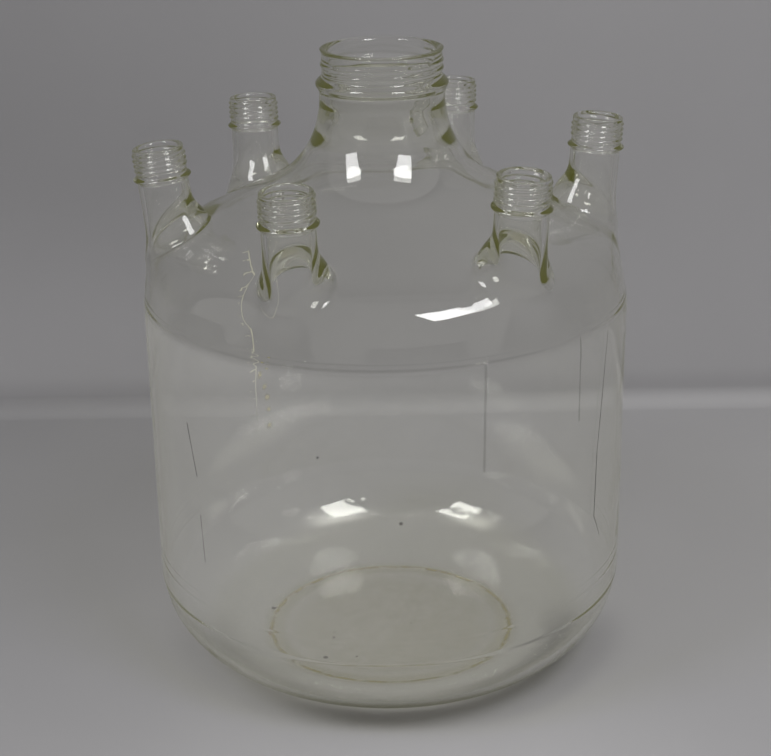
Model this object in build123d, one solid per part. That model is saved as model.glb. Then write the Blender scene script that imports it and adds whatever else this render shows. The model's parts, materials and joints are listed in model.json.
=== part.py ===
from build123d import *
import os
from math import tan, radians

# Glass vessel of a bench bioreactor: a flat-footed body with a flared screw neck and six
# screw-necked ports welded on its shoulder.  All of it is fused into one piece of glass.
# Millimetres and degrees, +Z up.  The origin is the centre of the foot, on the bench.

# Body
body_r = 202.5  # outside of the straight wall
wall = 5.0  # glass of the body
foot_r = 95.0  # flat disc that it stands on
sole_slope = 20.0  # rise of the dished ring round the foot
sole_blend = 155.0  # bend from the foot into that ring
heel_blend = 78.0  # bend from that ring into the wall
haunch_z = 330.0  # the wall starts to lean in here, at the weld of body and shoulder
haunch_rise = 39.0  # from there up to the shoulder proper
haunch_lean = 11.0
haunch_blend = 60.0  # bend from the wall into that lean
shoulder_slope = 26.5  # rise of the shoulder towards the neck
shoulder_blend = 25.0  # bend into the shoulder
flare_blend = 79.0  # bend from the shoulder up into the neck

# Centre neck
neck_r = 51.0  # tube under the bead
neck_core_r = 48.7  # screw finish, at the root of its thread
neck_bore_r = 43.0
neck_bead_r = 54.0
neck_stem = 10.35787  # straight tube from the end of its flare to the middle of the bead, at 500
neck_bead_half = 5.0  # half the bead's height
neck_finish = 28.5  # from the bead to the lip
neck_lip_round = 2.6  # both edges of the fire-polished lip

# Ports
port_inset = 22.0  # middle of each bead, in from the straight wall
port_rise = 59.81087  # the same, up from the shoulder, at 436
port_r = 20.5  # tube under the bead
port_core_r = 20.6  # screw finish, at the root of its thread
port_bore_r = 16.5
port_bead_r = 23.6
port_bead_half = 3.2
port_finish = 25.0
port_lip_round = 1.8
port_root_blend = 26.0  # weld fillet outside, where the tube meets the shoulder
port_mouth_blend = 16.0  # the same inside

# Each port was set by hand: its angle about +Z from +X, how far its bead is off level, and
# its outward lean.
port_settings = [
    (-113.0, -5.0, 4.0),
    (-55.5, 0.0, 4.0),
    (10.0, 1.5, 4.0),
    (69.4, 5.5, 2.5),
    (129.5, -1.0, 2.0),
    (-174.0, -6.0, 6.0),
]

# What follows from them
shoulder_r = body_r - haunch_rise * tan(radians(haunch_lean))
shoulder_z = haunch_z + haunch_rise
flare_z = shoulder_z + (shoulder_r - neck_r) * tan(radians(shoulder_slope))
neck_bead_z = flare_z + flare_blend * tan(radians(45 - shoulder_slope / 2)) + neck_stem
port_ring_r = body_r - port_inset
port_bead_z = shoulder_z + (shoulder_r - port_ring_r) * tan(radians(shoulder_slope)) + port_rise


def run(r, z, heading, inset):
    """Straight run of the body's section through (r, z), moved inwards by inset."""
    along = Vector(1, 0).rotate(Axis.Z, heading)
    return Vector(r, z) + along.rotate(Axis.Z, 90) * inset, along


def meeting(first, second):
    """Point where two runs cross."""
    (start, along), (other_start, other_along) = first, second
    across = other_along.rotate(Axis.Z, 90)
    return start + along * ((other_start - start).dot(across) / along.dot(across))


def blown_form(inset, throat_r, top_z):
    """Body and neck as a solid of revolution, taken inwards by inset, with a neck of throat_r."""
    foot_corner = foot_r + sole_blend * tan(radians(sole_slope / 2))
    runs = [
        run(0, 0, 0, inset),
        run(foot_corner, 0, sole_slope, inset),
        run(body_r, 0, 90, inset),
        run(body_r, haunch_z, 90 + haunch_lean, inset),
        run(shoulder_r, shoulder_z, 180 - shoulder_slope, inset),
        run(throat_r, 0, 90, 0),
    ]
    corners = [meeting(*pair) for pair in zip(runs, runs[1:])]
    blends = [sole_blend, heel_blend, haunch_blend, shoulder_blend, flare_blend + 2 * inset]
    outline = FilletPolyline(
        (0, inset), *corners, (throat_r, top_z), radius=[blend - inset for blend in blends]
    )
    closing = Polyline((throat_r, top_z), (0, top_z), (0, inset))
    return revolve(Plane.XZ * make_face(outline + closing), Axis.Z)


def screw_neck(tube_r, core_r, bead_r, bead_half, finish, lip_round, tail):
    """Outside of a neck about its own axis: bead at z = 0, lip at z = finish, tail below."""
    below = Line((tube_r, -tail), (tube_r, -bead_half))
    bead = ThreePointArc((tube_r, -bead_half), (bead_r, 0), (core_r, bead_half))
    lip = RadiusArc((core_r, finish - lip_round), (core_r - lip_round, finish), -lip_round)
    above = Line(bead @ 1, lip @ 0)
    closing = Polyline(lip @ 1, (0, finish), (0, -tail), below @ 0)
    return revolve(Plane.XZ * make_face(below + bead + above + lip + closing), Axis.Z)


def screw_bore(bore_r, finish, lip_round, tail):
    """Space through such a neck, opening out over the inner edge of its lip."""
    lip = RadiusArc((bore_r, finish - lip_round), (bore_r + lip_round, finish), lip_round)
    closing = Polyline(lip @ 1, (0, finish), (0, -tail), (bore_r, -tail), lip @ 0)
    return revolve(Plane.XZ * make_face(lip + closing), Axis.Z)


def port_place(angle, lift, lean):
    """Middle of a port's bead, with +Z along the port."""
    return Rot(0, 0, angle) * Pos(port_ring_r, 0, port_bead_z + lift) * Rot(0, lean, 0)


neck_place = Pos(0, 0, neck_bead_z)
neck_tail = 2 * neck_bead_half
port_places = [port_place(*setting) for setting in port_settings]
port_tail = port_bead_z - haunch_z

# Outside: the blown body with the six ports blended on where they are welded, and its neck
body = blown_form(0, neck_r, neck_bead_z)
ports = [
    place
    * screw_neck(
        port_r, port_core_r, port_bead_r, port_bead_half, port_finish, port_lip_round, port_tail
    )
    for place in port_places
]
outside = body + ports
outside = fillet(new_edges(body, *ports, combined=outside), port_root_blend)
outside += neck_place * screw_neck(
    neck_r, neck_core_r, neck_bead_r, neck_bead_half, neck_finish, neck_lip_round, neck_tail
)

# Inside: the same form one wall smaller, opened by the ports' bores and the neck's
hollow = blown_form(wall, neck_bore_r, neck_bead_z)
bores = [
    place * screw_bore(port_bore_r, port_finish, port_lip_round, port_tail)
    for place in port_places
]
inside = hollow + bores
inside = fillet(new_edges(hollow, *bores, combined=inside), port_mouth_blend)
inside += neck_place * screw_bore(neck_bore_r, neck_finish, neck_lip_round, neck_tail)

vessel = outside - inside

os.makedirs("parts", exist_ok=True)
export_step(vessel, "parts/vessel.step")
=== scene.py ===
"""Glass vessel of a bench bioreactor with seven screw necks, its studio and its camera."""

import json
import math

import bmesh
import bpy
import numpy as np
from bpy.props import FloatProperty, FloatVectorProperty, IntProperty, PointerProperty
from mathutils import Matrix, Vector, noise


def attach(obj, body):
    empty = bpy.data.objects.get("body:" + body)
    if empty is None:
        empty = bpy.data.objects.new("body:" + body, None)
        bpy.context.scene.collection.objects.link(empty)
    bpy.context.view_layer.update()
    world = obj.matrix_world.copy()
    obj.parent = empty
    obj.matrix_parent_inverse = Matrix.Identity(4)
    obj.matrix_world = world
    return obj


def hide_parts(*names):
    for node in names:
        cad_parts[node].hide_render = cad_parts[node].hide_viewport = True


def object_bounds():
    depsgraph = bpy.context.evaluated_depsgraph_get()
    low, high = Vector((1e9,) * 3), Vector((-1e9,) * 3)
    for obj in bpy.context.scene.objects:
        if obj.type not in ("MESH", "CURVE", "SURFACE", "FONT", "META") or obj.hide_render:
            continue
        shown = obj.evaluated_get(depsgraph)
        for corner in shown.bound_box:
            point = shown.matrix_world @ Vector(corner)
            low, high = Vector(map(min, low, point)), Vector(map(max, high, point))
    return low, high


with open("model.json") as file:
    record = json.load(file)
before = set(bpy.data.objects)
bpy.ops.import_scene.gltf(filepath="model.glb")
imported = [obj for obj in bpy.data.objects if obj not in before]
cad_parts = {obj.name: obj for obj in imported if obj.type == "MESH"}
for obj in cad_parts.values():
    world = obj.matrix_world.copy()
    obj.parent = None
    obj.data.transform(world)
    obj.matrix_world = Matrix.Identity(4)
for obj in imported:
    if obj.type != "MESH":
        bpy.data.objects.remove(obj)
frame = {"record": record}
cad_low, cad_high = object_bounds()

bl_info = {
    "name": "Bioreactor Vessel",
    "version": (1, 0, 0),
    "blender": (4, 5, 0),
    "location": "3D View > Sidebar > Vessel",
    "description": "Blows the glass vessel of a bench bioreactor and sets it in a studio",
    "category": "Add Mesh",
}

mm = 0.001
mounts = {mount["name"]: mount for mount in frame["record"]["mounts"]}
neck_mount = mounts["centre_neck"]
port_mounts = [mount for name, mount in mounts.items() if name.startswith("port_")]


# Sizes and colours -----------------------------------------------------------------------


def length(name, description, default):
    """A size in metres that the sidebar shows with its unit."""
    return FloatProperty(
        name=name, description=description, default=default, unit="LENGTH", precision=5
    )


def angle(name, description, default):
    """An angle given in degrees."""
    return FloatProperty(
        name=name, description=description, default=math.radians(default), subtype="ANGLE"
    )


def colour(name, description, default):
    """A linear colour."""
    return FloatVectorProperty(
        name=name, description=description, default=default, subtype="COLOR", size=3, min=0, max=1
    )


class BodySizes(bpy.types.PropertyGroup):
    """Section of the blown body."""

    # A hair inside the solid's wall, so that the smoothed skin doesn't stand proud of it
    radius: length("Radius", "Outside of the straight wall", cad_high.x - 0.15 * mm)
    wall: length("Wall", "Glass of the body", 5.0 * mm)
    foot: length("Foot", "Flat disc that the vessel stands on", 95.0 * mm)
    sole_slope: angle("Sole slope", "Rise of the dished ring round the foot", 20.0)
    sole_blend: length("Sole blend", "Bend from the foot into that ring", 155.0 * mm)
    heel_blend: length("Heel blend", "Bend from that ring into the wall", 78.0 * mm)
    haunch_height: length("Haunch", "The wall starts to lean in here", 330.0 * mm)
    haunch_lean: angle("Haunch lean", "Lean of the wall over the haunch", 11.0)
    haunch_blend: length("Haunch blend", "Bend from the wall into that lean", 140.0 * mm)
    shoulder_height: length("Shoulder", "The shoulder proper starts here", 369.0 * mm)
    shoulder_slope: angle("Shoulder slope", "Rise of the shoulder towards the neck", 26.5)
    shoulder_blend: length("Shoulder blend", "Bend into the shoulder", 25.0 * mm)
    flare_blend: length("Flare blend", "Bend from the shoulder up into the neck", 79.0 * mm)
    root_top: length("Root top", "The bore of the neck opens into the flare from here", 466.0 * mm)
    root_low: length("Root low", "The flare has its even wall under here", 446.0 * mm)
    upper_seam: length("Upper seam", "Height of the weld of wall and shoulder", 329.0 * mm)
    lower_seam: length("Lower seam", "Height of the weld of wall and base", 98.4 * mm)
    columns: IntProperty(name="Columns", description="Faces round the body's cage", default=36)


class NeckSizes(bpy.types.PropertyGroup):
    """Centre neck and its screw finish."""

    tube: length("Tube", "Radius under the bead", 51.0 * mm)
    core: length("Core", "Radius of the finish at the root of its thread", 48.7 * mm)
    bore: length("Bore", "Radius of the bore", neck_mount["dims"]["r_mm"] * mm)
    bead: length("Bead", "Radius of the bead", 54.0 * mm)
    bead_half: length("Bead half", "Half the bead's height", 7.5 * mm)
    finish: length("Finish", "From the bead to the lip", 28.5 * mm)
    lip_round: length("Lip round", "Round of the fire-polished lip", 2.6 * mm)
    crest: length("Crest", "Height of the thread", 1.3 * mm)
    pitch: length("Pitch", "Rise of the thread in one turn", 6.5 * mm)
    thread_width: length("Thread width", "Half width of the thread", 2.0 * mm)
    thread_start: length("Thread start", "Height over the bead where the thread starts", 9.0 * mm)
    turns: FloatProperty(name="Turns", description="Turns of the thread", default=1.7)


class PortSizes(bpy.types.PropertyGroup):
    """Ports and their screw finishes."""

    tube: length("Tube", "Radius under the bead", 20.5 * mm)
    core: length("Core", "Radius of the finish at the root of its thread", 20.6 * mm)
    bore: length("Bore", "Radius of the bore", port_mounts[0]["dims"]["r_mm"] * mm)
    bead: length("Bead", "Radius of the bead", 23.6 * mm)
    bead_half: length("Bead half", "Half the bead's height", 3.6 * mm)
    finish: length("Finish", "From the bead to the lip", 25.0 * mm)
    lip_round: length("Lip round", "Round of the fire-polished lip", 1.8 * mm)
    crest: length("Crest", "Height of the thread", 1.25 * mm)
    pitch: length("Pitch", "Rise of the thread in one turn", 4.2 * mm)
    thread_width: length("Thread width", "Half width of the thread", 1.15 * mm)
    thread_start: length("Thread start", "Height over the bead where the thread starts", 5.0 * mm)
    turns: FloatProperty(name="Turns", description="Turns of the thread", default=4.0)
    columns: IntProperty(name="Columns", description="Faces round the cage", default=16)


class VesselSettings(bpy.types.PropertyGroup):
    """All that the sidebar shows."""

    body: PointerProperty(type=BodySizes)
    neck: PointerProperty(type=NeckSizes)
    port: PointerProperty(type=PortSizes)
    glass: colour("Glass", "White light after a few centimetres of the glass", (0.893, 0.90, 0.75))
    # Edge glow is painted light: the emission in which a ray trapped in the glass ends
    edge: colour("Edge glow", "Light that the glass carries along itself", (0.10, 0.10, 0.035))
    floor: colour("Floor", "Bench top", (0.290, 0.286, 0.293))
    backdrop: colour("Backdrop", "Wall behind the bench", (0.262, 0.258, 0.266))


# Section of the form ---------------------------------------------------------------------


def crossing(first, second):
    """Point where two lines meet, each given as (point, direction) with points as r + z*i."""
    (start, along), (other_start, other_along) = first, second
    gap = other_start - start
    share = (gap.conjugate() * other_along).imag / (along.conjugate() * other_along).imag
    return start + along * share


class Outline:
    """Half section of the blown form, moved inwards, as points r + z*i from the foot up."""

    step = 0.2 * mm
    points_in_bend = 60

    def __init__(self, body, inset, throat, throat_bend, top):
        upright = math.pi / 2
        foot_corner = body.foot + body.sole_blend * math.tan(body.sole_slope / 2)
        haunch = complex(body.radius, body.haunch_height)
        haunch_rise = body.shoulder_height - body.haunch_height
        shoulder_radius = body.radius - haunch_rise * math.tan(body.haunch_lean)
        shoulder = complex(shoulder_radius, body.shoulder_height)
        # The straight runs from the foot up: a point, the heading and how far it is moved in
        runs = [
            (0, 0, inset),
            (foot_corner, body.sole_slope, inset),
            (body.radius, upright, inset),
            (haunch, upright + body.haunch_lean, inset),
            (shoulder, math.pi - body.shoulder_slope, inset),
            (throat, upright, 0),
        ]
        blends = (body.sole_blend, body.heel_blend, body.haunch_blend, body.shoulder_blend)
        bends = [blend - inset for blend in blends] + [throat_bend]
        lines = []
        for start, heading, moved in runs:
            way = complex(math.cos(heading), math.sin(heading))
            lines.append((start + 1j * way * moved, way))
        points = [complex(0, inset)]
        for k, bend in enumerate(bends):
            turn = runs[k + 1][1] - runs[k][1]
            way = lines[k][1]
            begin = crossing(lines[k], lines[k + 1]) - way * bend * math.tan(abs(turn) / 2)
            centre = begin + 1j * way * math.copysign(bend, turn)
            steps = np.linspace(0, turn, self.points_in_bend)
            points += list(centre + (begin - centre) * np.exp(1j * steps))
        points = np.array(points + [complex(throat, top)])
        lengths = np.concatenate(([0], np.cumsum(abs(np.diff(points)))))
        self.lengths = np.arange(0, lengths[-1], self.step)
        self.points = np.interp(self.lengths, lengths, points)

    def at(self, way):
        """Point at a length along the outline."""
        return complex(np.interp(way, self.lengths, self.points))

    def near(self, point):
        """Length along the outline to its nearest point."""
        return self.lengths[np.argmin(abs(self.points - point))]

    def inward(self, way, depth):
        """Point at that length, moved into the glass."""
        along = self.at(way + mm) - self.at(way - mm)
        return self.at(way) + 1j * along / abs(along) * depth

    def place(self, azimuth, way, wider=1.0):
        """Point in space on the surface at an angle round the axis."""
        point = self.at(way)
        radius = point.real * wider
        return Vector((radius * math.cos(azimuth), radius * math.sin(azimuth), point.imag))


def swell(columns):
    """How much wider a cage ring has to be than the smooth ring that it makes."""
    return 3 / (2 + math.cos(2 * math.pi / columns))


def through(points):
    """Cage points whose smooth line passes through the given ones."""
    rounds = 8  # each brings the line closer to them
    wanted = np.array(points)
    cage = wanted.copy()
    for _ in range(rounds):
        cage[1:-1] += wanted[1:-1] - (cage[:-2] + 4 * cage[1:-1] + cage[2:]) / 6
    return cage


# Ports and neck as places ----------------------------------------------------------------


class Seat:
    """A neck's own frame: z = 0 at its bead, +Z along it, +X towards the vessel's axis."""

    def __init__(self, mount, sizes):
        self.axis = Vector(mount["axis"]).normalized()
        wall_top = Vector(mount["pos_m"]) + self.axis * mount["dims"]["length_mm"] * mm / 2
        self.bead = wall_top + self.axis * (sizes.lip_round - sizes.finish)
        self.azimuth = math.atan2(self.bead.y, self.bead.x)
        outwards = Vector((math.cos(self.azimuth), math.sin(self.azimuth), 0))
        self.uphill = (self.axis * outwards.dot(self.axis) - outwards).normalized()
        self.across = self.axis.cross(self.uphill)
        turned = Matrix((self.uphill, self.across, self.axis)).transposed().to_4x4()
        self.matrix = Matrix.Translation(self.bead) @ turned

    def point(self, direction, radius, height):
        """Point at an angle from uphill, a distance from the axis and a height over the bead."""
        local = Vector((radius * math.cos(direction), radius * math.sin(direction), height))
        return self.matrix @ local

    def foot_on(self, outline):
        """Length along an outline's upper part to where the axis goes through it."""
        lowest, stride = outline.lengths[-1] * 0.6, 10
        ways = outline.lengths[outline.lengths > lowest][::stride]
        points = [outline.place(self.azimuth, way) for way in ways]
        offsets = [((point - self.bead).cross(self.axis)).length for point in points]
        return ways[int(np.argmin(offsets))]


def round_value(uphill, side, downhill, direction):
    """Value that goes smoothly from uphill over the side to downhill."""
    mean = (uphill + 2 * side + downhill) / 4
    tilt = (uphill - downhill) / 2
    squash = (uphill - 2 * side + downhill) / 4
    return mean + tilt * math.cos(direction) + squash * math.cos(2 * direction)


# Rings of the body's cage, in millimetres along its outside
foot_rows = [30, 62, 90, 112, 132, 150, 168, 186, 204, 222, 240]  # from the middle of the foot
lower_weld_rows = [-16, 16]  # from the weld of base and wall
wall_span, wall_rings = (60, -50), 5  # from the lower weld, and from the upper one
upper_weld_rows = [-28, -10]  # from the weld of wall and shoulder
port_rows = [-52, -27, 0, 27, 54]  # from the middle of the ports
flare_end, flare_rings = -16, 7  # from the end of the outline, up from the last port row
neck_row = -9  # from the end of the outline

# Rings of a port's root in millimetres, from the shoulder up to the tube.  Reaches, radii and
# heights over the bead are given uphill, at the side and downhill.
outer_reach = (38.0, 37.0, 31.0)
outer_root = [
    ((33.5, 31.5, 26.0), (-41.0, -54.0, -68.0)),
    ((28.5, 27.8, 23.2), (-31.5, -44.5, -59.0)),
    ((22.2, 22.6, 21.0), (-24.0, -35.5, -48.5)),
    ((20.6, 20.6, 20.5), (-16.0, -25.0, -33.0)),
]
inner_reach = (34.0, 32.0, 25.0)
inner_root = [
    ((25.5, 25.0, 20.5), (-44.5, -57.5, -69.5)),
    ((18.8, 18.8, 18.4), (-38.5, -51.0, -61.5)),
    ((16.8, 16.8, 16.5), (-31.0, -42.0, -54.0)),
    ((16.5, 16.5, 16.5), (-16.0, -22.0, -28.0)),
]


def body_rows(body, skin, port_way):
    """Lengths along the outside, in metres, to the rings of the body's cage."""
    lower = skin.near(complex(body.radius, body.lower_seam)) / mm
    upper = skin.near(complex(body.radius, body.upper_seam)) / mm
    end = skin.lengths[-1] / mm
    wall = [lower + row for row in lower_weld_rows]
    wall += list(np.linspace(lower + wall_span[0], upper + wall_span[1], wall_rings))
    wall += [upper + row for row in upper_weld_rows]
    patch = [port_way / mm + row for row in port_rows]
    flare = list(np.linspace(patch[-1], end + flare_end, flare_rings + 1)[1:])
    return [row * mm for row in foot_rows + wall + patch + flare + [end + neck_row]]


def finish_heights(sizes, start, step):
    """Even heights over the bead, from the start up to the lip."""
    count = round((sizes.finish - start) / step)
    return [float(height) for height in np.linspace(start, sizes.finish, count + 1)]


# Mesh tools ------------------------------------------------------------------------------


def named(name):
    """Names the object that was just added."""
    piece = bpy.context.object
    piece.name = name
    return piece


def deselect():
    """Leaves edit mode and selects nothing."""
    if bpy.context.object and bpy.context.object.mode != "OBJECT":
        bpy.ops.object.mode_set(mode="OBJECT")
    bpy.ops.object.select_all(action="DESELECT")


def edit(piece, kind="VERT"):
    """Opens a piece for editing with nothing selected, and gives its mesh."""
    deselect()
    bpy.context.view_layer.objects.active = piece
    piece.select_set(True)
    bpy.ops.object.mode_set(mode="EDIT")
    bpy.ops.mesh.select_mode(type=kind)
    bpy.ops.mesh.select_all(action="DESELECT")
    return bmesh.from_edit_mesh(piece.data)


def pick(mesh, items):
    """Selects edges or faces of an open mesh."""
    for item in items:
        item.select_set(True)
    mesh.select_flush_mode()


def lathe(name, rows, columns):
    """Draws ring after ring upwards from the first, as on a glass lathe, and closes the foot."""
    deselect()
    first = rows[0]
    bpy.ops.mesh.primitive_circle_add(
        vertices=columns, radius=first.real, fill_type="NGON", location=(0, 0, first.imag)
    )
    piece = named(name)
    bpy.ops.object.transform_apply()
    mesh = edit(piece, "EDGE")
    pick(mesh, mesh.edges)
    for here, after in zip(rows, rows[1:]):
        rise = after.imag - here.imag
        bpy.ops.mesh.extrude_edges_move(TRANSFORM_OT_translate={"value": (0, 0, rise)})
        scale = after.real / here.real
        bpy.ops.transform.resize(value=(scale, scale, 1), center_override=(0, 0, after.imag))
    bpy.ops.object.mode_set(mode="OBJECT")
    return piece


def azimuth_of(point):
    """Angle round the vessel's axis."""
    return math.atan2(point.y, point.x)


def swing(seats):
    """Even angles round the axis, and the ports' own angles that take their place."""
    azimuths = sorted(seat.azimuth for seat in seats)
    count = len(azimuths)
    first = min(range(count), key=lambda k: abs(azimuths[k]))
    even, uneven = [], []
    for k in range(-count, count + 1):
        turns, place = divmod(first + k, count)
        even.append(2 * math.pi * k / count)
        uneven.append(azimuths[place] + 2 * math.pi * turns)
    return even, uneven


def open_patches(piece, low, high, columns, seats):
    """Cuts a square hole of four by four faces for each port, and swings the columns to them."""
    mesh = edit(piece, "FACE")
    per_port = columns // len(seats)
    holes = []
    for face in mesh.faces:
        centre = face.calc_center_median()
        column = azimuth_of(centre) * columns / (2 * math.pi) % per_port
        if min(column, per_port - column) < 2 and low < centre.z < high:
            holes.append(face)
    pick(mesh, holes)
    bpy.ops.mesh.delete(type="FACE")
    even, uneven = swing(seats)
    for vertex in mesh.verts:
        before = azimuth_of(vertex.co)
        after = np.interp(before, even, uneven)
        vertex.co = Matrix.Rotation(after - before, 3, "Z") @ vertex.co
    bmesh.update_edit_mesh(piece.data)
    bpy.ops.object.mode_set(mode="OBJECT")


def draw_ring(piece, seat, places):
    """Draws the selected ring out to the given places, which are counted from uphill."""
    bpy.ops.mesh.extrude_edges_move(TRANSFORM_OT_translate={"value": (0, 0, 0)})
    mesh = bmesh.from_edit_mesh(piece.data)
    half_step = math.pi / len(places)

    def turn_from_uphill(vertex):
        arm = vertex.co - seat.bead
        turn = math.atan2(arm.dot(seat.across), arm.dot(seat.uphill))
        return (turn + half_step) % (2 * math.pi)

    ring = sorted((vertex for vertex in mesh.verts if vertex.select), key=turn_from_uphill)
    for vertex, place in zip(ring, places, strict=True):
        vertex.co = place
    bmesh.update_edit_mesh(piece.data)


def pick_rim(mesh, point, reach):
    """Selects the open edges that start nearer to a point than the reach."""
    open_edges = [edge for edge in mesh.edges if edge.is_boundary]
    pick(mesh, [edge for edge in open_edges if (edge.verts[0].co - point).length < reach])


def draw_port(piece, outline, body, seat, sizes, reach, root, tube, heights):
    """Draws one port up from its hole: a ring on the shoulder, its root and its tube."""
    mesh = edit(piece, "EDGE")
    foot_way = seat.foot_on(outline)
    hole_reach = 2 * (sizes.bead + sizes.finish)
    pick_rim(mesh, outline.place(seat.azimuth, foot_way), hole_reach)
    directions = [2 * math.pi * k / sizes.columns for k in range(sizes.columns)]
    places = []
    for direction in directions:
        away = round_value(*reach, direction) * mm
        way = foot_way + away * math.cos(direction)
        turn = away * math.sin(direction) / outline.at(way).real
        places.append(outline.place(seat.azimuth - turn, way, swell(body.columns)))
    draw_ring(piece, seat, places)
    wider = swell(sizes.columns)
    for radii, depths in root:
        places = [
            seat.point(d, round_value(*radii, d) * mm * wider, round_value(*depths, d) * mm)
            for d in directions
        ]
        draw_ring(piece, seat, places)
    for height in heights:
        draw_ring(piece, seat, [seat.point(d, tube * wider, height) for d in directions])
    bpy.ops.object.mode_set(mode="OBJECT")


def join_lips(piece, necks):
    """Bridges outside and inside of each mouth over its lip."""
    for seat, sizes in necks:
        mesh = edit(piece, "EDGE")
        pick_rim(mesh, seat.bead + seat.axis * sizes.finish, 1.2 * sizes.core)
        bpy.ops.mesh.bridge_edge_loops()
    bpy.ops.object.mode_set(mode="OBJECT")


def read_points(piece):
    """The mesh's vertices as rows of numbers."""
    points = np.empty(len(piece.data.vertices) * 3)
    piece.data.vertices.foreach_get("co", points)
    return points.reshape(-1, 3)


def write_points(piece, points):
    """Puts the mesh's vertices back."""
    piece.data.vertices.foreach_set("co", points.ravel())
    piece.data.update()


def ramp(low, high, value):
    """Smooth step from 0 to 1."""
    t = np.clip((value - low) / (high - low), 0, 1)
    return t * t * (3 - 2 * t)


def shape_finish(points, seat, sizes):
    """Presses the bead and the thread into the rows of a neck, and trues its bore."""
    to_local = np.array(seat.matrix.inverted())
    to_world = np.array(seat.matrix)
    local = points @ to_local[:3, :3].T + to_local[:3, 3]
    radius = np.hypot(local[:, 0], local[:, 1])
    turn = np.arctan2(local[:, 1], local[:, 0]) / (2 * math.pi)
    height = local[:, 2]

    # Only this neck is shaped, and the shaping fades into the tube and over the lip
    tail = 2.6 * sizes.bead_half
    lip_start = sizes.finish - 1.3 * sizes.lip_round
    reach = 1.1 * sizes.bead
    here = (radius < reach) & (height > -tail) & (height < sizes.finish + mm)
    weight = ramp(-tail, -sizes.bead_half, height) * (1 - ramp(lip_start, sizes.finish, height))

    above_bead = ramp(-sizes.bead_half, sizes.bead_half, height)
    smooth = sizes.tube + (sizes.core - sizes.tube) * above_bead
    crown = np.cos(np.clip(height / sizes.bead_half, -1, 1) * math.pi / 2) ** 2
    smooth += (sizes.bead - smooth) * crown

    run_out = 0.15
    turns_up = (height - sizes.thread_start) / sizes.pitch - turn
    nearest = np.round(turns_up)
    along = nearest + turn
    off = (turns_up - nearest) * sizes.pitch / sizes.thread_width
    ends = ramp(0, run_out, along) * (1 - ramp(sizes.turns - run_out, sizes.turns, along))
    thread = sizes.crest * np.exp(-1.2 * off * off) * ends

    outside = here & (radius > (sizes.core + sizes.bore) / 2)
    wanted = np.where(outside, smooth + thread, sizes.bore)
    shaped = radius + (wanted - radius) * weight
    scale = np.where(here & (radius > 0), shaped / np.maximum(radius, 1e-6), 1)
    local[:, :2] *= scale[:, None]
    return local @ to_world[:3, :3].T + to_world[:3, 3]


def hand_work(points, body):
    """Slight waves of hand-blown glass, never outwards, and a flat foot."""
    wave_depth, waves_a_metre = 0.35 * mm, 11.0
    calm_height, calm_share, wavy_share = 20 * mm, 0.45, 0.7  # of the body's radius
    radius = np.hypot(points[:, 0], points[:, 1])
    waves = np.array([noise.noise(Vector(point) * waves_a_metre) for point in points]) * 0.5 + 0.5
    fade = ramp(body.radius * calm_share, body.radius * wavy_share, radius)
    fade = fade * ramp(0, calm_height, points[:, 2])
    points[:, :2] *= (1 - wave_depth * waves * fade / np.maximum(radius, mm))[:, None]
    points[:, 2] = np.maximum(points[:, 2], 0)
    return points


# Glass -----------------------------------------------------------------------------------


def blow_shell(name, outline, points, patch, settings, seats, reach, root, tube, heights):
    """One skin of the vessel, with its ports drawn out of it and all its mouths open."""
    body = settings.body
    cage = through(points)
    cage = cage.real * swell(body.columns) + 1j * cage.imag
    shell = lathe(name, cage, body.columns)
    low, high = (outline.at(outline.near(point)).imag for point in patch)
    open_patches(shell, low, high, body.columns, seats)
    for seat in seats:
        draw_port(shell, outline, body, seat, settings.port, reach, root, tube, heights)
    return shell


def blow_shells(settings, neck_seat, seats):
    """Outside and inside of the glass."""
    body, neck, port = settings.body, settings.neck, settings.port
    level = neck_seat.bead.z
    skin = Outline(body, 0.0, neck.tube, body.flare_blend, level)
    bend = body.flare_blend + body.wall
    lining = Outline(body, body.wall, neck.tube - body.wall, bend, level)
    port_way = float(np.mean([seat.foot_on(skin) for seat in seats]))
    patch = [skin.at(port_way + row * mm) for row in (port_rows[0], port_rows[-1])]
    ways = body_rows(body, skin, port_way)

    outer = [skin.at(way) for way in ways]
    outer += [complex(neck.tube, level + h) for h in finish_heights(neck, -neck.bead_half, 4 * mm)]
    inner = []
    for way in ways:
        point = lining.at(lining.near(skin.inward(way, body.wall)))
        narrowing = (neck.bore - point.real) * ramp(body.root_low, body.root_top, point.imag)
        inner.append(point + float(narrowing))
    inner += [complex(neck.bore, level + h) for h in finish_heights(neck, -neck.bead_half, 8 * mm)]

    tube_start, outer_step, inner_step = -5 * mm, 2.5 * mm, 7.5 * mm
    outer_heights = finish_heights(port, tube_start, outer_step)
    inner_heights = finish_heights(port, tube_start, inner_step)
    drawing = (patch, settings, seats)
    return (
        blow_shell(
            "vessel_glass", skin, outer, *drawing, outer_reach, outer_root, port.core, outer_heights
        ),
        blow_shell(
            "lining", lining, inner, *drawing, inner_reach, inner_root, port.bore, inner_heights
        ),
    )


def fuse(outside, inside, necks):
    """Joins the inside, turned round, to the outside over every lip, and smooths the cage."""
    edit(inside)
    bpy.ops.mesh.select_all(action="SELECT")
    bpy.ops.mesh.flip_normals()
    deselect()
    inside.select_set(True)
    outside.select_set(True)
    bpy.context.view_layer.objects.active = outside
    bpy.ops.object.join()
    join_lips(outside, necks)
    edit(outside)
    bpy.ops.mesh.select_all(action="SELECT")
    bpy.ops.mesh.normals_make_consistent(inside=False)
    bpy.ops.object.mode_set(mode="OBJECT")
    smooth = outside.modifiers.new("smooth", "SUBSURF")
    smooth.levels = smooth.render_levels = 2
    bpy.ops.object.modifier_apply(modifier=smooth.name)


# Materials -------------------------------------------------------------------------------


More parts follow.
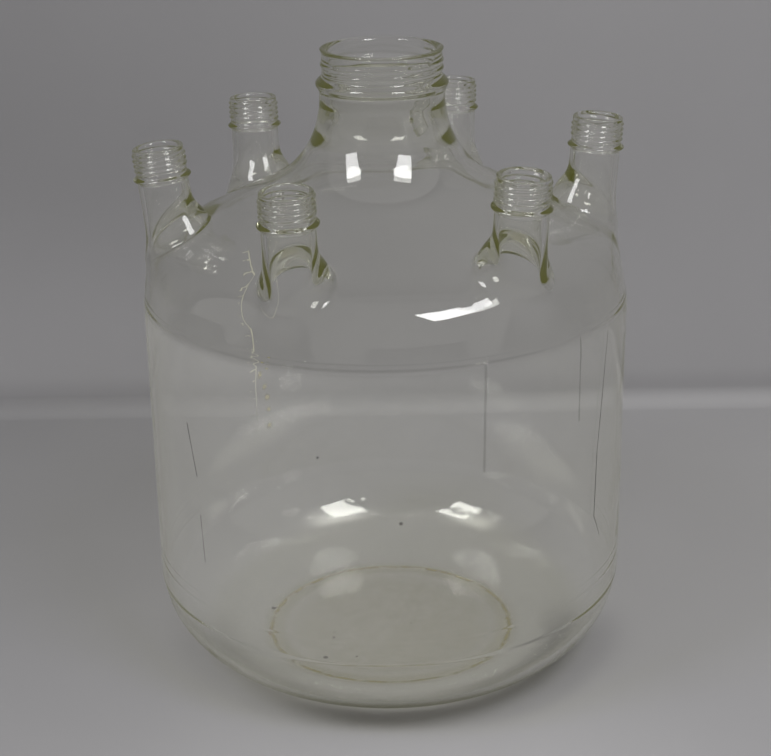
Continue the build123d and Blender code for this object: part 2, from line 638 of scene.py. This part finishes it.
class Value:
    """A socket or a number in a shader sum."""

    def __init__(self, graph, socket):
        self.graph = graph
        self.socket = socket

    def math(self, operation, *others):
        """Result of a maths node with this value first."""
        inputs = dict(enumerate((self, *others)))
        return self.graph.value("ShaderNodeMath", {"operation": operation}, inputs)

    def __add__(self, other):
        return self.math("ADD", other)

    def __sub__(self, other):
        return self.math("SUBTRACT", other)

    def __mul__(self, other):
        return self.math("MULTIPLY", other)

    def __rsub__(self, other):
        return self * -1 + other

    __radd__ = __add__
    __rmul__ = __mul__

    def step(self, low, high):
        """Smooth step from 0 at low to 1 at high."""
        limits = {"Value": self, "From Min": low, "From Max": high}
        return self.graph.value("ShaderNodeMapRange", {"interpolation_type": "SMOOTHSTEP"}, limits)

    def fall(self, low, high):
        """Smooth step from 1 at low to 0 at high."""
        return 1 - self.step(low, high)

    def near(self, middle, half):
        """Smooth bump, 1 at the middle and 0 beyond half."""
        return (self - middle).math("ABSOLUTE").fall(0, half)

    def highest(self, *others):
        """Greatest of several values."""
        result = self
        for other in others:
            result = result.math("MAXIMUM", other)
        return result


class Graph:
    """Node tree of one material."""

    def __init__(self, name):
        self.material = bpy.data.materials.new(name)
        self.material.use_nodes = True
        self.tree = self.material.node_tree
        self.tree.nodes.clear()

    def node(self, kind, settings=None, inputs=None):
        """Adds a node, sets its settings first, then fills its sockets."""
        node = self.tree.nodes.new(kind)
        for key, value in (settings or {}).items():
            setattr(node, key, value)
        for key, value in (inputs or {}).items():
            value = value.socket if isinstance(value, Value) else value
            if isinstance(value, bpy.types.NodeSocket):
                self.tree.links.new(value, node.inputs[key])
            else:
                node.inputs[key].default_value = value
        return node

    def value(self, kind, settings=None, inputs=None, output=0):
        """Adds a node and gives one of its outputs for sums."""
        return Value(self, self.node(kind, settings, inputs).outputs[output])

    def vector(self, operation, inputs, output=0):
        """Adds a vector maths node."""
        return self.value("ShaderNodeVectorMath", {"operation": operation}, inputs, output)

    def axes(self, place):
        """The three numbers of a place."""
        part = self.node("ShaderNodeSeparateXYZ", None, {0: place})
        return [Value(self, output) for output in part.outputs]

    def noise(self, place, scale, detail=2.0, roughness=0.5):
        """Noise about 0.5 at a number of bumps a metre."""
        inputs = {"Vector": place, "Scale": scale, "Detail": detail, "Roughness": roughness}
        return self.value("ShaderNodeTexNoise", None, inputs)

    def blend(self, factor, first, second):
        """Second colour over the first."""
        first, second = (c if isinstance(c, Value) else (*c, 1) for c in (first, second))
        return self.value(
            "ShaderNodeMix", {"data_type": "RGBA"}, {0: factor, 6: first, 7: second}, 2
        )

    def mix(self, factor, first, second):
        """Second shader over the first."""
        return self.value("ShaderNodeMixShader", None, {0: factor, 1: first, 2: second})

    def finish(self, surface, volume=None):
        """Links the shaders to the output."""
        inputs = {"Surface": surface}
        if volume:
            inputs["Volume"] = volume
        self.node("ShaderNodeOutputMaterial", None, inputs)
        return self.material


# What years of use left on the glass.  Every place is an angle round the axis from +X in
# degrees, a radius and a height in millimetres.
specks = [  # with the speck's size
    (85.9, 165.1, 23.3, 2.4),
    (165.0, 111.8, 5.9, 3.2),
    (118.8, 111.8, 6.0, 1.6),
    (-154.4, 56.8, 5.0, 1.8),
    (-134.2, 82.5, 5.0, 3.0),
    (-117.4, 65.7, 5.0, 1.5),
    (-4.8, 18.4, 5.0, 1.5),
    (111.0, 197.3, 87.9, 1.8),
]
smears = [  # with half its length round the axis and half its width
    (-173.0, 110.1, 5.8, 7.0, 2.2),
    (-57.2, 110.2, 5.8, 9.0, 2.0),
]
scratches = [  # from one place to another on the wall, with the width and how dark it is
    ((-29.8, 202.0, 319.0), (-30.9, 202.1, 292.2), 0.9, 0.45),
    ((-30.9, 202.1, 292.2), (-31.8, 202.1, 268.5), 0.9, 0.55),
    ((-31.8, 202.1, 268.5), (-33.7, 202.1, 221.0), 0.9, 0.75),
    ((-33.7, 202.1, 221.0), (-34.2, 202.1, 164.0), 0.9, 0.75),
    ((-34.2, 202.1, 164.0), (-31.1, 202.1, 143.0), 0.8, 0.6),
    ((-141.6, 202.1, 257.0), (-138.9, 202.1, 214.5), 0.9, 0.5),
    ((-138.4, 202.1, 180.0), (-137.6, 202.1, 140.0), 0.7, 0.4),
    ((-68.6, 202.1, 328.0), (-68.9, 202.1, 240.0), 1.6, 0.16),
    ((-42.0, 202.1, 333.0), (-42.0, 202.1, 258.0), 1.2, 0.25),
]
drips = [  # down the wall beside the graduation
    (125.6, 202.0, 189.0),
    (126.5, 202.0, 174.0),
    (125.7, 202.0, 163.0),
    (125.5, 202.0, 150.0),
    (125.5, 202.0, 133.0),
    (128.0, 202.0, 185.0),
]

# Low ridges round the glass where its parts were welded: height, half width and rise in
# millimetres
welds = [(327.0, 3.0, 0.08), (331.5, 2.0, 0.045), (107.0, 2.0, 0.03), (98.5, 2.5, 0.05)]


def spot(azimuth, radius, height):
    """Place in metres from an angle in degrees and millimetres."""
    turn = math.radians(azimuth)
    return Vector((radius * math.cos(turn), radius * math.sin(turn), height)) * mm


class Marks:
    """Masks of the marks on the glass, and of the painted shadow under the heel, each from 0 for
    bare glass to 1.
    """

    def __init__(self, graph):
        self.graph = graph
        self.place = graph.value("ShaderNodeTexCoord", output="Object")
        self.x, self.y, self.z = graph.axes(self.place)
        self.radius = (self.x * self.x + self.y * self.y).math("SQRT")
        self.azimuth = self.y.math("ARCTAN2", self.x)
        self.patches = graph.noise(self.place, 80.0, 2.0, 0.65)
        self.outside_wall = self.radius.step(200.5 * mm, 201.2 * mm)

    def uneven(self, amount):
        """Patchy offset to either side, for an edge that isn't crisp."""
        return (self.patches - 0.5) * amount

    def away(self, point):
        """Distance to a point."""
        return self.graph.vector("DISTANCE", {0: self.place, 1: point}, "Value")

    def along(self, start, end):
        """Distance to a straight line between two points."""
        way = end - start
        arm = self.graph.vector("SUBTRACT", {0: self.place, 1: start})
        share = self.graph.vector("DOT_PRODUCT", {0: arm, 1: way / way.length_squared}, "Value")
        share = share.math("MAXIMUM", 0.0).math("MINIMUM", 1.0)
        foot = self.graph.vector("SCALE", {0: way, "Scale": share})
        return self.graph.vector("DISTANCE", {0: arm, 1: foot}, "Value")

    def tide(self):
        """Brown film that a drying liquid left on the floor of the vessel, with its ring."""
        ring_radius, ring_half, halo_radius, halo_half = 107.7 * mm, 4.2 * mm, 103 * mm, 18 * mm
        radius = self.radius + self.uneven(4 * mm)
        on_floor = self.z.step(3 * mm, 4.5 * mm) * self.z.fall(8 * mm, 10 * mm)
        broken = self.patches.step(0.30, 0.60) * 0.65 + 0.35
        ring = radius.near(ring_radius, ring_half) * broken
        halo = radius.near(halo_radius, halo_half) * 0.30
        film = radius.fall(70 * mm, 116 * mm) * (0.12 + self.patches * 0.24)
        return ring.highest(halo, film) * on_floor * 0.8

    def bloom(self):
        """Thin pale film on the near wall, up to the upper weld, heavier to the left."""
        wall = self.outside_wall * self.z.step(30 * mm, 120 * mm) * self.z.fall(319 * mm, 329 * mm)
        near_side = self.y.fall(-20 * mm, 80 * mm)
        thick_film_and_heel_shadow = self.x.fall(-140 * mm, 100 * mm) * 0.11 + 0.03 + self.patches * 0.07
        return wall * near_side * thick_film_and_heel_shadow

    def dirt(self):
        """Short brown smears beside the ring."""
        masks = []
        for azimuth, radius, height, half, width in smears:
            reach = math.degrees(half / radius)
            ends = (spot(azimuth + turn, radius, height) for turn in (-reach, reach))
            masks.append(self.along(*ends).fall(0, width * mm) * self.patches.step(0.40, 0.58))
        return masks[0].highest(*masks[1:]) * 0.8

    def rust(self):
        """Yellow drips beside the graduation, inside the far wall."""
        edge = self.uneven(5 * mm)
        masks = [(self.away(spot(*place)) + edge).fall(mm, 4 * mm) for place in drips]
        return masks[0].highest(*masks[1:]) * 0.5

    def scale(self):
        """Worn graduation up the far wall: one upright line with short ticks to one side."""
        azimuth, line_half, tick_length = math.radians(129.35), 1.3 * mm, 7 * mm
        one_tick, spacing, tick_half = 249.8 * mm, 8.5 * mm, 0.12  # the last in spacings
        off = (self.azimuth - azimuth) * self.radius + self.uneven(1.5 * mm)
        count = (self.z - one_tick) * (1 / spacing)
        ticks = ((count + 0.5).math("FRACT") - 0.5).near(0, tick_half)
        ticks = ticks * off.step(0, mm) * off.fall(tick_length, tick_length + 2 * mm)
        ticks = ticks * self.patches.step(0.40, 0.52)
        reach = self.z.step(110 * mm, 220 * mm) * self.z.fall(305 * mm, 315 * mm)
        worn = reach * (0.55 + self.patches * 0.6) * self.outside_wall
        return off.near(0, line_half).highest(ticks) * worn

    def lines(self):
        """Scratches and long streaks down the wall."""
        wander = self.uneven(0.8 * mm)
        masks = []
        for start, end, width, dark in scratches:
            off = self.along(spot(*start), spot(*end)) + wander
            masks.append(off.fall(width * 0.4 * mm, width * mm) * dark)
        return masks[0].highest(*masks[1:])

    def dots(self):
        """Dark specks."""
        masks = []
        for *place, size in specks:
            masks.append(self.away(spot(*place)).fall(size * 0.4 * mm, size * mm))
        return masks[0].highest(*masks[1:])

    def dulled(self):
        """Roughness of the dished glass round the foot, inside, where it went dull."""
        dish = self.radius.step(80 * mm, 110 * mm) * self.z.step(3 * mm, 5 * mm)
        return dish * self.z.fall(20 * mm, 45 * mm) * 0.16

    def heel(self):
        """Painted shadow that the front of the heel casts on the bench, weaker to the left."""
        low = self.radius.step(135 * mm, 155 * mm) * self.z.fall(22 * mm, 46 * mm)
        rightwards = self.x.step(-140 * mm, -20 * mm) * 0.7 + 0.3
        return low * self.y.fall(-40 * mm, 40 * mm) * rightwards


def surface_of_glass(graph, marks):
    """Clear glass with slow ripples, and with a ridge at each weld."""
    ripples_a_metre, ripple_height = 26.0, 0.12 * mm
    height = graph.noise(marks.place, ripples_a_metre, 1.0, 0.4) * ripple_height
    for level, half, rise in welds:
        height += marks.z.near(level * mm, half * mm) * (rise * mm)
    bump = graph.value("ShaderNodeBump", None, {"Strength": 1.0, "Distance": 1.0, "Height": height})
    inputs = {
        "Base Color": (1, 1, 1, 1),
        "Roughness": marks.dulled(),
        "IOR": 1.473,
        "Transmission Weight": 1.0,
        "Normal": bump,
    }
    return graph.value("ShaderNodeBsdfPrincipled", None, inputs)


def dirty_film(graph, marks):
    """How much of the glass the marks cover, and their film in the colour of the strongest."""
    stains = (
        (marks.tide(), (0.165, 0.144, 0.045)),
        (marks.bloom(), (0.86, 0.855, 0.83)),
        (marks.dirt(), (0.16, 0.10, 0.045)),
        (marks.rust(), (0.50, 0.45, 0.20)),
        (marks.scale(), (0.80, 0.78, 0.70)),
        (marks.lines(), (0.06, 0.058, 0.055)),
        (marks.dots(), (0.03, 0.026, 0.022)),
    )
    cover, tint = stains[0]
    for mask, colour_of_mask in stains[1:]:
        tint = graph.blend(mask.math("GREATER_THAN", cover), tint, colour_of_mask)
        cover = cover.highest(mask)
    inputs = {"Base Color": tint, "Roughness": 0.8}
    return cover, graph.value("ShaderNodeBsdfPrincipled", None, inputs)


def glass_material(settings):
    """Clear fire-polished glass, faintly olive where it is thick, with the marks of use.

    A ray that is still inside after a few reflections ends in a faint painted glow, an emission in
    place of black, and shadow and diffuse rays go straight through, dimmed a little, and more at
    the front of the heel as a painted shadow on the bench."""
    graph = Graph("glass")
    marks = Marks(graph)
    ray = graph.node("ShaderNodeLightPath").outputs
    # Painted glow: the glass is no lamp, yet a ray trapped after a few reflections ends in this
    # emission
    glow = graph.value(
        "ShaderNodeEmission", None, {"Color": (*settings.edge, 1), "Strength": 1.0}
    )
    reflections = 3.5  # a ray of three goes on, and a ray of four is trapped
    trapped = Value(graph, ray["Glossy Depth"]).math("GREATER_THAN", reflections)
    surface = graph.mix(trapped, surface_of_glass(graph, marks), glow)
    cover, film = dirty_film(graph, marks)
    surface = graph.mix(cover, surface, film)
    # Painted shadow: shadow and diffuse rays pass darkened where the heel mask is, which paints a
    # contact shadow on the bench
    thin, thick_film_and_heel_shadow = (0.955, 0.953, 0.945), (0.42, 0.415, 0.40)
    shade = graph.blend(marks.heel(), thin, thick_film_and_heel_shadow)
    clear = graph.value("ShaderNodeBsdfTransparent", None, {"Color": shade})
    passing = Value(graph, ray["Is Shadow Ray"]).highest(Value(graph, ray["Is Diffuse Ray"]))
    surface = graph.mix(passing, surface, clear)
    depth = graph.value(
        "ShaderNodeVolumeAbsorption", None, {"Color": (*settings.glass, 1), "Density": 30.0}
    )
    return graph.finish(surface, depth)


def paper_tone_and_painted_light(graph, place, side, way, height):
    """How light the paper is: its own uneven tone, with painted shade and painted light laid over
    it.
    """
    uneven = graph.noise(place, 2.2, 3.0) * 0.20 + 0.98
    # Painted shade: darker to the left, most on the far floor and the wall
    painted_left_shade = side.fall(-0.6, 0.6) * (way.step(-0.3, 0.25) * 0.85 + 0.15) * 0.27
    # Painted shade in the upper corners of the wall
    painted_corner_shade = side.math("ABSOLUTE").step(0.1, 0.8) * height.step(0.2, 0.8) * 0.22
    # Painted light low on the wall, just over the bend, with more of it to the left
    painted_low_wall_light = height.step(0.02, 0.05) * height.fall(0.05, 0.35) * 0.16
    painted_low_left_light = height.step(0.0, 0.03) * height.fall(0.05, 0.30) * side.fall(-1.0, 0.2) * 0.34
    # Painted pool of light on the bench in front of the vessel, where the glass would throw light
    right, back = side - 0.04, way + 0.33
    painted_light_pool = (right * right + back * back).math("SQRT").fall(0.08, 0.34) * 0.22
    # Painted shade in the bend of the paper, more to the left
    painted_bend_shade = height.near(0.010, 0.016) * side.fall(-0.3, 0.5) * 0.16
    return uneven - painted_left_shade - painted_corner_shade + painted_low_wall_light + painted_low_left_light + painted_light_pool - painted_bend_shade


def sweep_material(settings):
    """Matt paper, from the shade of the bench top to the shade of the backdrop over the bend, with
    painted light and painted shade laid on it.

    Its back is clear, so the vessel can be seen from behind it too."""
    graph = Graph("paper")
    place = graph.value("ShaderNodeTexCoord", output="Object")
    side, way, height = graph.axes(place)
    paper = graph.blend(height.step(0.0, 0.03), settings.floor, settings.backdrop)
    # The paper's uneven tone, with painted light and painted shade
    shade = paper_tone_and_painted_light(graph, place, side, way, height)
    lit = graph.vector("SCALE", {0: paper, "Scale": shade})
    front = graph.value("ShaderNodeBsdfPrincipled", None, {"Base Color": lit, "Roughness": 0.7})
    back = graph.value("ShaderNodeNewGeometry", output="Backfacing")
    return graph.finish(graph.mix(back, front, graph.value("ShaderNodeBsdfTransparent")))


def hang_sweep(settings):
    """Bench top and backdrop in one sheet, bent up behind the vessel."""
    front, bend_start, bend, top, half, under = -4.0, 0.50, 0.022, 4.0, 5.0, -0.3 * mm
    deselect()
    bpy.ops.mesh.primitive_plane_add(size=1, location=(0, 0, 0))
    sheet = named("sweep")
    mesh = edit(sheet, "EDGE")
    for vertex in mesh.verts:
        vertex.co = (vertex.co.x * 2 * half, front if vertex.co.y < 0 else bend_start, under)
    pick(mesh, [edge for edge in mesh.edges if all(end.co.y > 0 for end in edge.verts)])
    turns = np.linspace(0, math.pi / 2, 17)
    for turn, after in zip(turns, turns[1:]):
        back = bend * (math.sin(after) - math.sin(turn))
        rise = bend * (math.cos(turn) - math.cos(after))
        bpy.ops.mesh.extrude_edges_move(TRANSFORM_OT_translate={"value": (0, back, rise)})
    bpy.ops.mesh.extrude_edges_move(TRANSFORM_OT_translate={"value": (0, 0, top)})
    bpy.ops.object.mode_set(mode="OBJECT")
    bpy.ops.object.shade_smooth()
    sheet.data.materials.append(sweep_material(settings))
    return sheet


# Studio ----------------------------------------------------------------------------------

sky_colour, sky_strength = (1.0, 0.985, 0.98, 1), 0.42
aim_point = Vector((0, 0, 0.3))
lamps = (  # name, place, width and length, power in watts
    ("key", (0.9, -1.2, 2.2), (0.72, 0.95), 30),
    ("fill", (-1.3, -0.9, 2.0), (0.6, 0.9), 22),
)
camera_place = (0, -1.3837, 0.7871)
camera_tilt, camera_roll = 21.51, -0.93  # degrees down from level, and turned about the view
camera_lens, camera_shift = 80.7, (-0.0018, 0.0022)


def light_sky(scene):
    """Even pale light from all round."""
    scene.world = bpy.data.worlds.new("studio")
    scene.world.use_nodes = True
    inputs = scene.world.node_tree.nodes["Background"].inputs
    inputs["Color"].default_value = sky_colour
    inputs["Strength"].default_value = sky_strength


def hang_lamp(name, place, size, power):
    """Rectangular area lamp that looks at the vessel."""
    lamp = bpy.data.lights.new(name, "AREA")
    lamp.shape = "RECTANGLE"
    lamp.size, lamp.size_y = size
    lamp.energy = power
    holder = bpy.data.objects.new(name, lamp)
    bpy.context.collection.objects.link(holder)
    aim = (aim_point - Vector(place)).to_track_quat("-Z", "Y")
    holder.matrix_world = Matrix.Translation(place) @ aim.to_matrix().to_4x4()


def set_camera(scene):
    """Camera in front of the vessel, looking down on its shoulder."""
    lens = bpy.data.cameras.new("camera")
    lens.sensor_width = 36
    lens.lens = camera_lens
    lens.shift_x, lens.shift_y = camera_shift
    camera = bpy.data.objects.new("camera", lens)
    bpy.context.collection.objects.link(camera)
    tilt = Matrix.Rotation(math.radians(90 - camera_tilt), 4, "X")
    roll = Matrix.Rotation(math.radians(camera_roll), 4, "Z")
    camera.matrix_world = Matrix.Translation(camera_place) @ tilt @ roll
    scene.camera = camera


# Operators -------------------------------------------------------------------------------


class VESSEL_OT_blow_glass(bpy.types.Operator):
    """Blow the vessel with its neck and ports, and give it its glass"""

    bl_idname = "vessel.blow_glass"
    bl_label = "Blow Glass"

    def execute(self, context):
        settings = context.scene.vessel
        neck_seat = Seat(neck_mount, settings.neck)
        seats = [Seat(mount, settings.port) for mount in port_mounts]
        necks = [(neck_seat, settings.neck)] + [(seat, settings.port) for seat in seats]
        glass, lining = blow_shells(settings, neck_seat, seats)
        fuse(glass, lining, necks)
        points = read_points(glass)
        for seat, sizes in necks:
            points = shape_finish(points, seat, sizes)
        write_points(glass, hand_work(points, settings.body))
        bpy.ops.object.shade_smooth()
        glass.data.materials.append(glass_material(settings))
        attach(glass, "root")
        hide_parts("vessel")
        return {"FINISHED"}


class VESSEL_OT_set_stage(bpy.types.Operator):
    """Set the bench top, the wall behind it, the lights and the camera"""

    bl_idname = "vessel.set_stage"
    bl_label = "Set Stage"

    def execute(self, context):
        scene = context.scene
        hang_sweep(scene.vessel)
        light_sky(scene)
        for lamp in lamps:
            hang_lamp(*lamp)
        set_camera(scene)
        scene.view_settings.view_transform = "Standard"
        return {"FINISHED"}


class VESSEL_PT_panel(bpy.types.Panel):
    """Sidebar list of the steps"""

    bl_idname = "VESSEL_PT_panel"
    bl_label = "Vessel"
    bl_space_type = "VIEW_3D"
    bl_region_type = "UI"
    bl_category = "Vessel"

    def draw(self, context):
        settings = context.scene.vessel
        for operator in operators:
            self.layout.operator(operator.bl_idname)
        for group in (settings.body, settings.neck, settings.port):
            box = self.layout.box()
            for key in group.__annotations__:
                box.prop(group, key)
        for key in ("glass", "edge", "floor", "backdrop"):
            self.layout.prop(settings, key)


operators = (VESSEL_OT_blow_glass, VESSEL_OT_set_stage)
classes = (BodySizes, NeckSizes, PortSizes, VesselSettings, *operators, VESSEL_PT_panel)


def register():
    """Makes the settings, the steps and the panel known to Blender."""
    for cls in classes:
        bpy.utils.register_class(cls)
    bpy.types.Scene.vessel = PointerProperty(type=VesselSettings)


def unregister():
    """Takes them out again."""
    del bpy.types.Scene.vessel
    for cls in reversed(classes):
        bpy.utils.unregister_class(cls)


def main():
    """Runs the steps."""
    register()
    bpy.ops.vessel.blow_glass()
    bpy.ops.vessel.set_stage()


if __name__ == "__main__":
    main()
